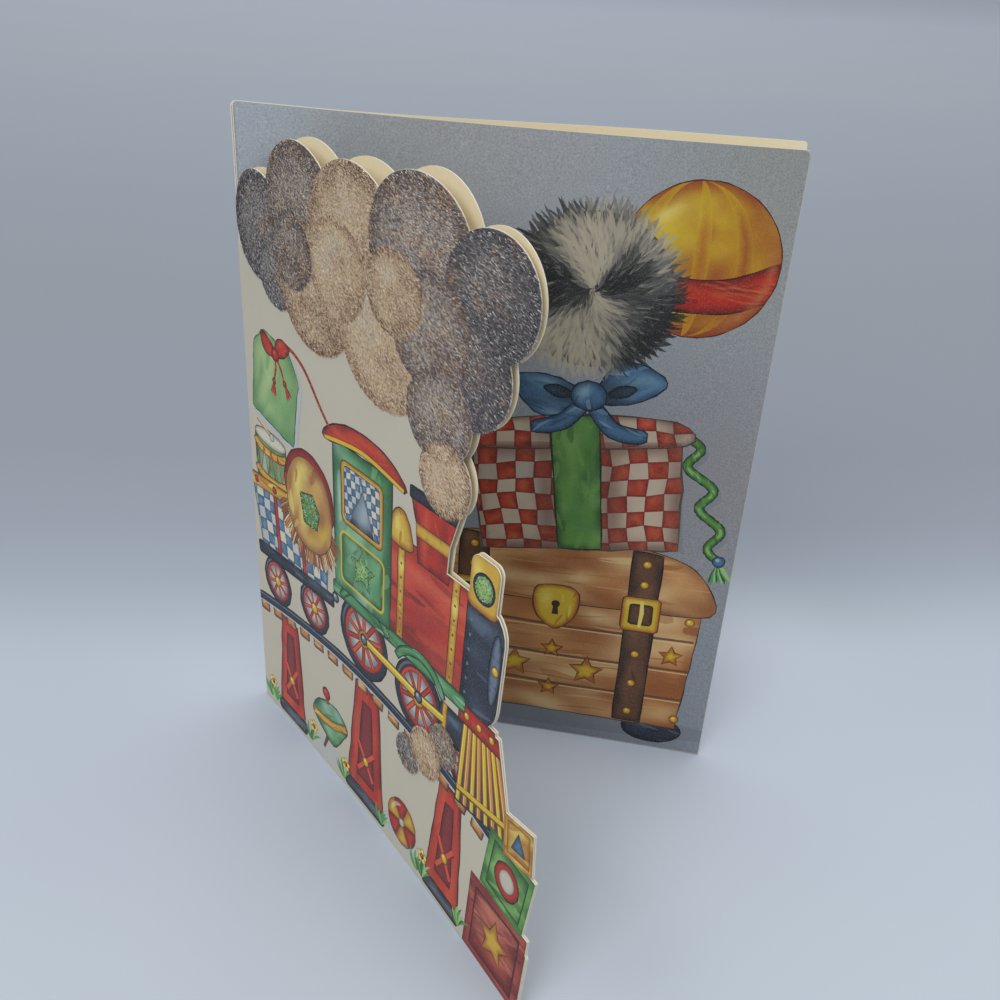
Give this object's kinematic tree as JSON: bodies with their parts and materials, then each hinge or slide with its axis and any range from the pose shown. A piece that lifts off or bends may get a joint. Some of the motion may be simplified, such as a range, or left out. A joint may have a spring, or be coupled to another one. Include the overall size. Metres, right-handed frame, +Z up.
{
  "type": "greeting card",
  "caption": "Folded greeting card standing open: a double-layer die-cut front leaf with a printed and flocked face hinged at the spine to a rectangular page.",
  "frame": {"origin": "middle of the bounding box's underside, on the surface that the card stands on", "axes": "+Z up the spine and the leaves; +X along the page from the spine to its free edge; the page faces -Y, and the front leaf swings out from the spine towards -Y and +X"},
  "size_m": [0.1396, 0.1116, 0.1841],
  "materials": {
    "card_stock": "matte",
    "page_grey": "satin",
    "printed_colour": "satin",
    "flock": "matte",
    "glitter": "gloss"
  },
  "bodies": {
    "root": {"card": "card_stock"}
  },
  "joints": []
}
